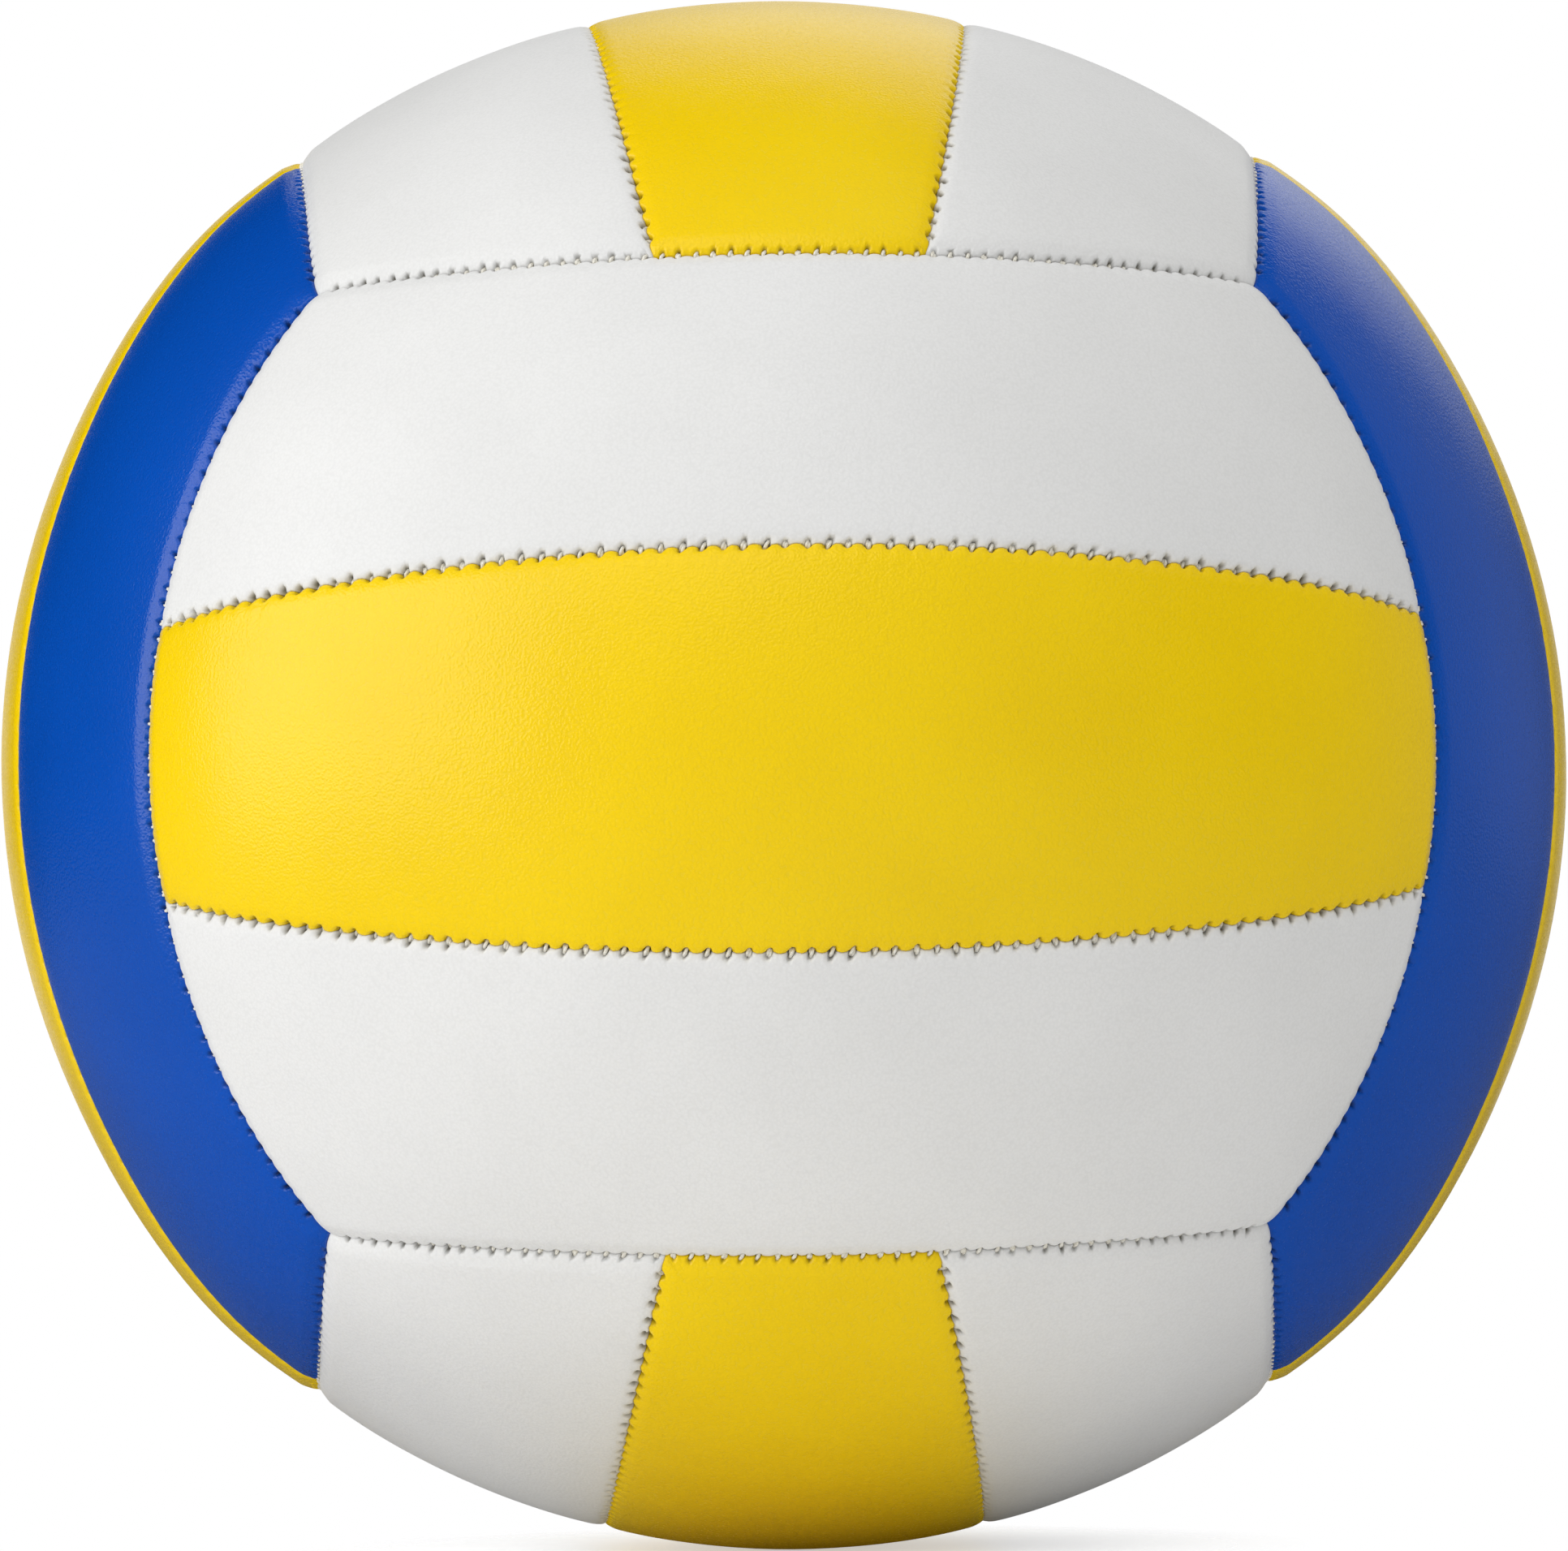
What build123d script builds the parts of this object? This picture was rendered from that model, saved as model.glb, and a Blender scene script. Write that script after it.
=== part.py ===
from build123d import *
import os
from math import acos, atan2, cos, degrees, hypot, radians, sin, sqrt

# Indoor volleyball: eighteen padded panels in six faces of three strips, stitched edge to edge
# round an air bladder with a rubber valve. Millimetres, origin at the ball's centre, +Z up.
# The front face looks along -Y and the valve is in the middle of the back face, along +Y.

# Ball and panel layers, from the outside in
ball_diameter = 210.0
cover_thickness = 1.2
foam_thickness = 2.4
lining_thickness = 0.5
glue_line = 0.1  # between the layers of a panel, and between the bladder and the valve flange

# Seam layout, in degrees seen from the ball's centre
end_seam_angle = 52.3  # from a face's axis to the ends of its strips, on their middle line
strip_seam_angle = 14.1  # from a face's axis to the seam beside its middle strip
strip_seam_tilt = 12.1  # how far that seam's plane leans from square to the strips' edges

# Seams and their thread
seam_gap = 0.25  # between the turned-in edges of two panels
edge_roll = 2.0  # radius of a panel's rounded outer edge
edge_rise = 0.06  # the roll's crown above the ball's surface, so that the two meet in a clean line
thread_diameter = 0.8
thread_clearance = 0.1  # between the thread and the rounded edges that it lies on
thread_end_gap = 1.5  # a thread stops this far short of the seam that it runs into

# Bladder
bladder_wall = 0.8
bladder_clearance = 0.3

# Valve housing
valve_bore_diameter = 5.0
neck_wall = 0.65  # round the plug's head
neck_clearance = 0.2  # round the neck, in every layer that it passes
neck_setback = 0.4  # the neck's end below the ball's surface
flange_width = 7.0  # out from the neck, inside the bladder
flange_thickness = 1.6
stem_wall = 2.0
stem_length = 13.0

# Valve plug
plug_clearance = 0.05  # radial, between the plug and the housing's bore
plug_head_overhang = 0.7  # the head's rim beyond the housing's bore
plug_head_thickness = 1.0
plug_head_clearance = 0.15
plug_length = 16.0
plug_tip_wall = 4.0  # between the needle's bore and the plug's inner end
plug_tip_chamfer = 0.8
needle_bore_diameter = 2.0
needle_mouth_flare = 0.5  # the mouth's rim beyond the needle's bore
needle_mouth_depth = 0.6

# Faces of the ball: axis, direction of the strips, and the name of the strip on each side.
# The first side is towards axis x direction, the second on the other side.
faces = {
    "front": ((0, -1, 0), (1, 0, 0), "upper", "lower"),
    "back": ((0, 1, 0), (-1, 0, 0), "upper", "lower"),
    "left": ((-1, 0, 0), (0, 0, -1), "front", "back"),
    "right": ((1, 0, 0), (0, 0, 1), "front", "back"),
    "top": ((0, 0, 1), (0, 1, 0), "left", "right"),
    "bottom": ((0, 0, -1), (0, 1, 0), "right", "left"),
}

# Radii of the layers
ball_radius = ball_diameter / 2
cover_inner = ball_radius - cover_thickness
foam_outer = cover_inner - glue_line
foam_inner = foam_outer - foam_thickness
lining_outer = foam_inner - glue_line
lining_inner = lining_outer - lining_thickness
bladder_outer = lining_inner - bladder_clearance
bladder_inner = bladder_outer - bladder_wall

# Insets of the layers from the middle of a seam, along the ball's surface
cover_inset = seam_gap / 2
padding_inset = cover_inset + cover_thickness + glue_line

# Radii of the valve, and heights along its axis from the ball's centre
plug_head_radius = valve_bore_diameter / 2 + plug_head_overhang
head_bore_radius = plug_head_radius + plug_head_clearance
neck_radius = head_bore_radius + neck_wall
flange_radius = neck_radius + flange_width
stem_radius = valve_bore_diameter / 2 + stem_wall
neck_top = ball_radius - neck_setback
head_seat = neck_top - plug_head_thickness
flange_outer = bladder_inner - glue_line
flange_rim = sqrt(flange_outer**2 - flange_radius**2)
flange_neck = sqrt(flange_outer**2 - neck_radius**2)
flange_bottom = flange_rim - flange_thickness
stem_bottom = flange_bottom - stem_length
plug_tip = neck_top - plug_length

# A model face has its axis along Z and its strips along X; its first side strip lies towards Y.
# An end seam's circle runs through the two corners that three faces share and the strips' end.
corner = 1 / sqrt(3)
end_rise = cos(radians(end_seam_angle)) - corner
end_reach = sin(radians(end_seam_angle)) - corner
end_slant = atan2(end_rise, end_reach)
end_half_angle = end_seam_angle + degrees(end_slant)
end_axis = Vector(-sin(end_slant), 0, cos(end_slant))
far_end_axis = Vector(sin(end_slant), 0, cos(end_slant))
neighbour_axis = Vector(0, cos(end_slant), -sin(end_slant))

# A strip seam's circle is nearly a great circle, beside the middle strip.
strip_tilt = radians(strip_seam_tilt)
strip_half_angle = 90 - strip_seam_angle + strip_seam_tilt
strip_axis = Vector(0, cos(strip_tilt), -sin(strip_tilt))
far_strip_axis = Vector(0, -cos(strip_tilt), -sin(strip_tilt))

# Each strip is cut out of a larger patch of the ball by one cutter for each of its four seams
patch_margin = 8.0  # degrees of the patch past the seams
cutter_width = 25.0  # degrees of a cutter past its seam
cutter_overrun = 25.0  # degrees of a cutter past the ends of its seam
cutter_depth = 6.0  # a cutter's reach past the faces that it cuts


def on_circle(radius, angle):
    return (radius * sin(radians(angle)), radius * cos(radians(angle)))


def ring_face(inner, outer, first_angle, last_angle):
    # A slice of a ring in the XZ plane, with angles measured from Z
    middle_angle = (first_angle + last_angle) / 2
    sides = [
        Line(on_circle(inner, first_angle), on_circle(outer, first_angle)),
        ThreePointArc(
            on_circle(outer, first_angle), on_circle(outer, middle_angle), on_circle(outer, last_angle)
        ),
        Line(on_circle(outer, last_angle), on_circle(inner, last_angle)),
        ThreePointArc(
            on_circle(inner, last_angle), on_circle(inner, middle_angle), on_circle(inner, first_angle)
        ),
    ]
    return Plane.XZ * make_face(sides)


def round_axis(axis, towards, section, half_arc):
    # A section in the XZ plane, turned about an axis by half_arc to both sides of a direction
    turned = revolve(Rot(0, 0, -half_arc) * section, Axis.Z, 2 * half_arc)
    square = towards - axis * towards.dot(axis)
    return Plane(origin=(0, 0, 0), x_dir=square, z_dir=axis) * turned


def from_centre(towards_x, towards_y, angle):
    # Direction at an angle from the model face's axis
    return Vector(towards_x * sin(radians(angle)), towards_y * sin(radians(angle)), cos(radians(angle)))


def end_half_arc():
    # From the middle of an end seam to a corner, about the seam's axis
    shared_corner = Vector(corner, corner, corner)
    end_middle = from_centre(1, 0, end_seam_angle)
    towards_middle = end_middle - end_axis * end_middle.dot(end_axis)
    towards_corner = shared_corner - end_axis * shared_corner.dot(end_axis)
    return towards_middle.get_angle(towards_corner)


def strip_half_arc():
    # From the middle of a strip seam to the end seam that it runs into, about the seam's axis
    lift = cos(radians(strip_half_angle))
    spread = sin(radians(strip_half_angle))
    upright = Vector(0, sin(strip_tilt), cos(strip_tilt))
    along_upright = spread * end_axis.dot(upright)
    along_strip = spread * end_axis.X
    wanted = cos(radians(end_half_angle)) - lift * end_axis.dot(strip_axis)
    turn = atan2(along_strip, along_upright) + acos(wanted / hypot(along_upright, along_strip))
    return degrees(turn)


def patch(lowest, highest, inner, outer):
    # Part of the ball's shell between two latitudes about Y, centred on the model face's axis
    section = ring_face(inner, outer, 90 - highest, 90 - lowest)
    return round_axis(Vector(0, 1, 0), Vector(0, 0, 1), section, end_seam_angle + patch_margin)


def roll_centre():
    # Where the centre of a rolled edge lies: out from the ball's centre, and away from the seam
    away = cover_inset + edge_roll
    return sqrt(ball_radius**2 - away**2) + edge_rise - edge_roll, away


def seam_section(half_angle, side, inset, inner, outer, is_rolled):
    # A cutter's section: its wall lies inset from the seam's cone, with the strip on the inner side
    # of the cone (side 1) or on the outer side (side -1), and it may roll the strip's edge over
    along = Vector(*on_circle(1, half_angle))
    across = Vector(along.Y, -along.X) * side
    low = inner - cutter_depth
    high = outer + cutter_depth
    far_angle = half_angle + side * cutter_width
    wall_foot = along * low - across * inset
    far_side = [wall_foot, on_circle(low, far_angle), on_circle(high, far_angle)]
    if not is_rolled:
        return Plane.XZ * make_face(Polyline(*far_side, along * high - across * inset, wall_foot))
    reach, away = roll_centre()
    centre = along * reach - across * away
    crown = centre + along * edge_roll
    shoulder = centre + (along + across) * (edge_roll / sqrt(2))
    wall_top = centre + across * edge_roll
    sides = [
        Polyline(*far_side, along * high - across * away, crown),
        ThreePointArc(crown, shoulder, wall_top),
        Line(wall_top, wall_foot),
    ]
    return Plane.XZ * make_face(sides)


def strip_layer(is_middle, inset, inner, outer, is_rolled=False):
    # One layer of a strip, held back from every seam by inset
    end_arc = end_half_arc() + cutter_overrun
    strip_arc = strip_half_arc() + cutter_overrun
    strip_middle = from_centre(0, 1, strip_seam_angle)
    past_end = seam_section(end_half_angle, 1, inset, inner, outer, is_rolled)
    if is_middle:
        past_strip = seam_section(strip_half_angle, -1, inset, inner, outer, is_rolled)
        highest = strip_seam_angle + patch_margin
        layer = patch(-highest, highest, inner, outer)
        layer -= round_axis(strip_axis, strip_middle, past_strip, strip_arc)
        layer -= round_axis(far_strip_axis, from_centre(0, -1, strip_seam_angle), past_strip, strip_arc)
    else:
        past_strip = seam_section(strip_half_angle, 1, inset, inner, outer, is_rolled)
        past_side = seam_section(end_half_angle, -1, inset, inner, outer, is_rolled)
        side_angle = 90 - end_seam_angle
        layer = patch(0, side_angle + patch_margin, inner, outer)
        layer -= round_axis(strip_axis, strip_middle, past_strip, strip_arc)
        layer -= round_axis(neighbour_axis, from_centre(0, 1, side_angle), past_side, end_arc)
    layer -= round_axis(end_axis, from_centre(1, 0, end_seam_angle), past_end, end_arc)
    layer -= round_axis(far_end_axis, from_centre(-1, 0, end_seam_angle), past_end, end_arc)
    return layer


def cover(is_middle):
    # The skin of a panel, with its edges rolled over and turned in down to the lining
    skin = strip_layer(is_middle, cover_inset, lining_inner, ball_radius, is_rolled=True)
    hollow_bottom = lining_inner - cutter_depth
    return skin - strip_layer(is_middle, cover_inset + cover_thickness, hollow_bottom, cover_inner)


def foam(is_middle):
    return strip_layer(is_middle, padding_inset, foam_inner, foam_outer)


def lining(is_middle):
    return strip_layer(is_middle, padding_inset, lining_inner, lining_outer)


def valve_hole():
    # Through all layers, along the model face's axis
    hole = Cylinder(neck_radius + neck_clearance, ball_diameter)
    return Pos(0, 0, ball_radius) * hole


def on_face(axis, along, piece):
    return Plane(origin=(0, 0, 0), x_dir=along, z_dir=axis) * piece


def panel_pieces():
    # Every cover, foam pad and lining, by node name
    pieces = {}
    layers = {"cover": cover, "foam": foam, "lining": lining}
    for layer, make in layers.items():
        middle = make(True)
        side = make(False)
        for face, (axis, along, first_side, second_side) in faces.items():
            away = tuple(-part for part in along)
            holed = middle - valve_hole() if face == "back" else middle
            pieces[f"{face}_middle_{layer}"] = on_face(axis, along, holed)
            pieces[f"{face}_{first_side}_{layer}"] = on_face(axis, along, side)
            pieces[f"{face}_{second_side}_{layer}"] = on_face(axis, away, side)
    return pieces


def thread_lay():
    # The thread lies in the groove between two rolled edges, this far from the ball's centre
    reach, away = roll_centre()
    return reach + sqrt((edge_roll + thread_diameter / 2 + thread_clearance) ** 2 - away**2)


def seam_thread(axis, middle, half_angle, half_arc):
    # A thread along a seam's circle, to both sides of the seam's middle
    spare = degrees(thread_end_gap / (thread_lay() * sin(radians(half_angle))))
    section = Plane.XZ * Pos(on_circle(thread_lay(), half_angle)) * Circle(thread_diameter / 2)
    return round_axis(axis, middle, section, half_arc - spare)


def end_thread():
    return seam_thread(end_axis, from_centre(1, 0, end_seam_angle), end_half_angle, end_half_arc())


def strip_thread():
    return seam_thread(strip_axis, from_centre(0, 1, strip_seam_angle), strip_half_angle, strip_half_arc())


def on_every_face(piece):
    # Twice on each face: on its first side or end, and turned half round on the other
    copies = []
    for axis, along, first_side, second_side in faces.values():
        away = tuple(-part for part in along)
        copies.append(on_face(axis, along, piece))
        copies.append(on_face(axis, away, piece))
    return Compound([copy.solid() for copy in copies])


def bladder():
    # The spheres' poles and seam line lie away from the valve
    turned = Plane(origin=(0, 0, 0), x_dir=(0, 0, -1), z_dir=(0, 1, 0))
    air_skin = turned * (Sphere(bladder_outer) - Sphere(bladder_inner)) - valve_hole()
    return on_face(*faces["back"][:2], air_skin)


def valve_housing():
    # Turned about the valve's axis: a neck to the ball's surface, a flange inside the bladder, a stem
    bore_radius = valve_bore_diameter / 2
    flange_middle = on_circle(flange_outer, degrees(acos((flange_rim + flange_neck) / 2 / flange_outer)))
    walls = Polyline(
        (neck_radius, flange_neck),
        (neck_radius, neck_top),
        (head_bore_radius, neck_top),
        (head_bore_radius, head_seat),
        (bore_radius, head_seat),
        (bore_radius, stem_bottom),
        (stem_radius, stem_bottom),
        (stem_radius, flange_bottom),
        (flange_radius, flange_bottom),
        (flange_radius, flange_rim),
    )
    seat = ThreePointArc((flange_radius, flange_rim), flange_middle, (neck_radius, flange_neck))
    housing = revolve(Plane.XZ * make_face([walls, seat]), Axis.Z)
    return on_face(*faces["back"][:2], housing)


def valve_plug():
    # The head sits in the housing's neck, and the needle's bore is blind
    shank_radius = valve_bore_diameter / 2 - plug_clearance
    needle_radius = needle_bore_diameter / 2
    needle_bottom = plug_tip + plug_tip_wall
    outline = Polyline(
        (0, plug_tip),
        (shank_radius - plug_tip_chamfer, plug_tip),
        (shank_radius, plug_tip + plug_tip_chamfer),
        (shank_radius, head_seat),
        (plug_head_radius, head_seat),
        (plug_head_radius, neck_top),
        (needle_radius + needle_mouth_flare, neck_top),
        (needle_radius, neck_top - needle_mouth_depth),
        (needle_radius, needle_bottom),
        (0, needle_bottom),
        (0, plug_tip),
    )
    plug = revolve(Plane.XZ * make_face(outline), Axis.Z)
    return on_face(*faces["back"][:2], plug)


pieces = panel_pieces()
pieces["strip_seam_thread"] = on_every_face(strip_thread())
pieces["end_seam_thread"] = on_every_face(end_thread())
pieces["bladder"] = bladder()
pieces["valve_housing"] = valve_housing()
pieces["valve_plug"] = valve_plug()

os.makedirs("parts", exist_ok=True)
for name, piece in pieces.items():
    export_step(piece, f"parts/{name}.step")
print(len(pieces), "nodes, thread centre", round(ball_radius - thread_lay(), 3), "below the surface")
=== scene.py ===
import math
import bpy
import numpy as np
from mathutils import Matrix, Vector


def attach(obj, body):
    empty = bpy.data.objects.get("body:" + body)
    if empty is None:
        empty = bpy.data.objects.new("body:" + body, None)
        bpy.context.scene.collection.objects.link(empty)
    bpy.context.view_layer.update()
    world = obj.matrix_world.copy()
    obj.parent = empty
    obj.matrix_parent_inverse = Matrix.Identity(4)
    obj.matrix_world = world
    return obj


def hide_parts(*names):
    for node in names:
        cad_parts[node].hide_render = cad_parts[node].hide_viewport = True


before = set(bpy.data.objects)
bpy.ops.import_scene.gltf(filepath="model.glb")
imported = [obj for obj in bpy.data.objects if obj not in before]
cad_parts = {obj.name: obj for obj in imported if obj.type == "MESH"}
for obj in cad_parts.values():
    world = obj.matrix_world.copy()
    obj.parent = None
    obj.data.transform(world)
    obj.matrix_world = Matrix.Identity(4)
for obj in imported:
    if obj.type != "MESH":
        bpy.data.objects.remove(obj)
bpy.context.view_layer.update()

print("frame loaded:", len(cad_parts), "nodes")
mm = 0.001

# Layout of the ball, the same values as in the CAD
ballLayout = {
    "radius": 105 * mm,
    "endSeamAngle": 52.3,       # degrees from a face's middle to the ends of its strips
    "stripSeamAngle": 14.1,     # degrees from a face's middle to the seams beside its middle strip
    "stripSeamTilt": 12.1,      # lean of those seams, which makes the side strips taper
}

# For each face: the way it looks, the way its strips run, the names of its two side strips, their colour
faceTable = {
    "front": ((0, -1, 0), (1, 0, 0), ("upper", "lower"), "white"),
    "back": ((0, 1, 0), (-1, 0, 0), ("upper", "lower"), "white"),
    "left": ((-1, 0, 0), (0, 0, -1), ("front", "back"), "blue"),
    "right": ((1, 0, 0), (0, 0, 1), ("front", "back"), "blue"),
    "top": ((0, 0, 1), (0, 1, 0), ("left", "right"), "white"),
    "bottom": ((0, 0, -1), (0, 1, 0), ("right", "left"), "white"),
}

ballRadius = ballLayout["radius"]
endAngle = math.radians(ballLayout["endSeamAngle"])
stripAngle = math.radians(ballLayout["stripSeamAngle"])
stripTilt = math.radians(ballLayout["stripSeamTilt"])
cornerPart = 1 / math.sqrt(3)
endSlant = math.atan2(math.cos(endAngle) - cornerPart, math.sin(endAngle) - cornerPart)


def faceBasis(face):
    axis, along = (np.array(v, float) for v in faceTable[face][:2])
    return np.stack([along, np.cross(axis, along), axis], axis=1)


def seamCircle(face, kind, sign):
    # A seam is a circle on the ball: its axis, its half angle and the direction of its middle
    basis = faceBasis(face)
    if kind == "end":
        axis = (-sign * math.sin(endSlant), 0, math.cos(endSlant))
        middle = (sign * math.sin(endAngle), 0, math.cos(endAngle))
        halfAngle = endAngle + endSlant
    else:
        axis = (0, sign * math.cos(stripTilt), -math.sin(stripTilt))
        middle = (0, sign * math.sin(stripAngle), math.cos(stripAngle))
        halfAngle = math.pi / 2 - stripAngle + stripTilt
    axis, middle = basis @ np.array(axis), basis @ np.array(middle)
    toMiddle = middle - axis * axis.dot(middle)
    toMiddle /= np.linalg.norm(toMiddle)
    return {"axis": axis, "halfAngle": halfAngle, "toMiddle": toMiddle, "aside": np.cross(axis, toMiddle)}


def seamPoint(seam, azimuth):
    azimuth = np.asarray(azimuth)[..., None]
    swing = np.cos(azimuth) * seam["toMiddle"] + np.sin(azimuth) * seam["aside"]
    return math.cos(seam["halfAngle"]) * seam["axis"] + math.sin(seam["halfAngle"]) * swing


def seamAzimuth(seam, direction):
    return np.arctan2(direction @ seam["aside"], direction @ seam["toMiddle"])


def stripReach(seam, endSeam):
    # How far from its middle a strip seam meets the seam at the end of its face
    part = math.cos(endSeam["halfAngle"]) - math.cos(seam["halfAngle"]) * seam["axis"].dot(endSeam["axis"])
    part /= math.sin(seam["halfAngle"])
    ahead, sideways = seam["toMiddle"].dot(endSeam["axis"]), seam["aside"].dot(endSeam["axis"])
    return math.acos(part / math.hypot(ahead, sideways)) - abs(math.atan2(sideways, ahead))


stitching = {
    "pitch": {"strip": 2.62 * mm, "end": 2.20 * mm},    # from one stitch to the next
    "wander": 0.16 * mm,        # how far a stitch strays along the seam
    "endMargin": 1.5 * mm,      # bare seam before a corner
    "pull": (0.7, 1.15),        # how hard a stitch is drawn in, least and most
    "lean": (0.22, 0.12),       # its slant across the seam, middle and spread
    "seed": 18,
}

seams = {}
stitchRandom = np.random.default_rng(stitching["seed"])
for face in faceTable:
    for kind in ("end", "strip"):
        for sign in (1, -1):
            seam = seamCircle(face, kind, sign)
            if kind == "end":
                along, across, axis = faceBasis(face).T
                corner = (axis + sign * along + across) * cornerPart
                seam["halfArc"] = abs(float(seamAzimuth(seam, corner)))
            else:
                seam["halfArc"] = stripReach(seam, seamCircle(face, "end", 1))
            seam["arcRadius"] = ballRadius * math.sin(seam["halfAngle"])
            room = seam["halfArc"] * seam["arcRadius"] - stitching["endMargin"]
            seam["kind"], seam["pitch"] = kind, stitching["pitch"][kind]
            count = int(2 * room / seam["pitch"])
            places = (np.arange(count) - (count - 1) / 2) * seam["pitch"]
            seam["stitchAt"] = places + stitchRandom.uniform(-1, 1, count) * stitching["wander"]
            seam["stitchPull"] = stitchRandom.uniform(*stitching["pull"], count)
            seam["stitchLean"] = stitchRandom.normal(*stitching["lean"], count)
            # the thread bites deeper into one panel; 1 is the one inside the seam's circle
            seam["bites"] = -1 if kind == "end" and face in ("front", "back") else 1
            seams[face, kind, sign] = seam
print("seams:", len(seams), "stitches:", sum(len(s["stitchAt"]) for s in seams.values()))


def facing(direction):
    for face, (axis, *_) in faceTable.items():
        if np.dot(axis, direction) > 0.9:
            return face


def panelPlan(face, strip):
    # The four seams round a panel, in the order bottom, right, top, left, seen with its strip lying level.
    # inside is 1 where the panel lies inside the seam's circle
    turn = -1 if strip == faceTable[face][2][1] else 1
    frameNow = faceBasis(face) * np.array([turn, turn, 1])
    rightEnd = {"seam": seams[face, "end", turn], "inside": 1}
    leftEnd = {"seam": seams[face, "end", -turn], "inside": 1}
    if strip == "middle":
        bottom = {"seam": seams[face, "strip", -1], "inside": -1}
        top = {"seam": seams[face, "strip", 1], "inside": -1}
        colour = "yellow"
    else:
        beyond = facing(frameNow[:, 1])
        towards = 1 if np.dot(faceTable[beyond][1], frameNow[:, 2]) > 0 else -1
        bottom = {"seam": seams[face, "strip", turn], "inside": 1}
        top = {"seam": seams[beyond, "end", towards], "inside": -1}
        colour = faceTable[face][3]
    edges = [bottom, rightEnd, top, leftEnd]
    return {"name": face + "_" + strip, "frame": frameNow, "edges": edges, "colour": colour}


def panelCorners(plan):
    # Bottom left, bottom right, top right, top left, as directions from the ball's middle
    along = plan["frame"][:, 0]
    bottom, top = plan["edges"][0]["seam"], plan["edges"][2]["seam"]
    corners = []
    for seam, side in ((bottom, -1), (bottom, 1), (top, 1), (top, -1)):
        ends = seamPoint(seam, np.array([-seam["halfArc"], seam["halfArc"]]))
        corners.append(ends[np.argmax(ends @ along * side)])
    return corners


def panelMap(plan):
    # Gives the direction of any point of the panel from its place (u, v), both from 0 to 1,
    # and measures the panel on the ball's surface
    c = panelCorners(plan)
    bottom, right, top, left = (edge["seam"] for edge in plan["edges"])

    def run(seam, start, end, t):
        first, last = seamAzimuth(seam, start), seamAzimuth(seam, end)
        return seamPoint(seam, first + (last - first) * t)

    def at(u, v):
        uu, vv = u[:, None], v[:, None]
        level = (1 - vv) * run(bottom, c[0], c[1], u) + vv * run(top, c[3], c[2], u)
        upright = (1 - uu) * run(left, c[0], c[3], v) + uu * run(right, c[1], c[2], v)
        flat = (1 - uu) * (1 - vv) * c[0] + uu * (1 - vv) * c[1] + uu * vv * c[2] + (1 - uu) * vv * c[3]
        spot = level + upright - flat
        return spot / np.linalg.norm(spot, axis=1)[:, None]

    steps = np.linspace(0, 1, 65)

    def length(u, v):
        return float(np.linalg.norm(np.diff(at(u, v), axis=0), axis=1).sum()) * ballRadius

    still = np.zeros_like(steps)
    plan["lengths"] = (length(steps, still), length(steps, still + 1), length(still + 0.5, steps))
    plan["longest"] = max(*plan["lengths"][:2], length(steps, still + 0.5))
    plan["round"] = plan["lengths"][0] + plan["lengths"][1] + length(still, steps) + length(still + 1, steps)
    u, v = np.meshgrid(steps, steps)
    grid = at(u.ravel(), v.ravel()).reshape(*u.shape, 3) * ballRadius
    cells = np.cross(grid[1:, 1:] - grid[:-1, :-1], grid[:-1, 1:] - grid[1:, :-1])
    plan["area"] = float(np.linalg.norm(cells, axis=2).sum()) / 2
    return at


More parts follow.
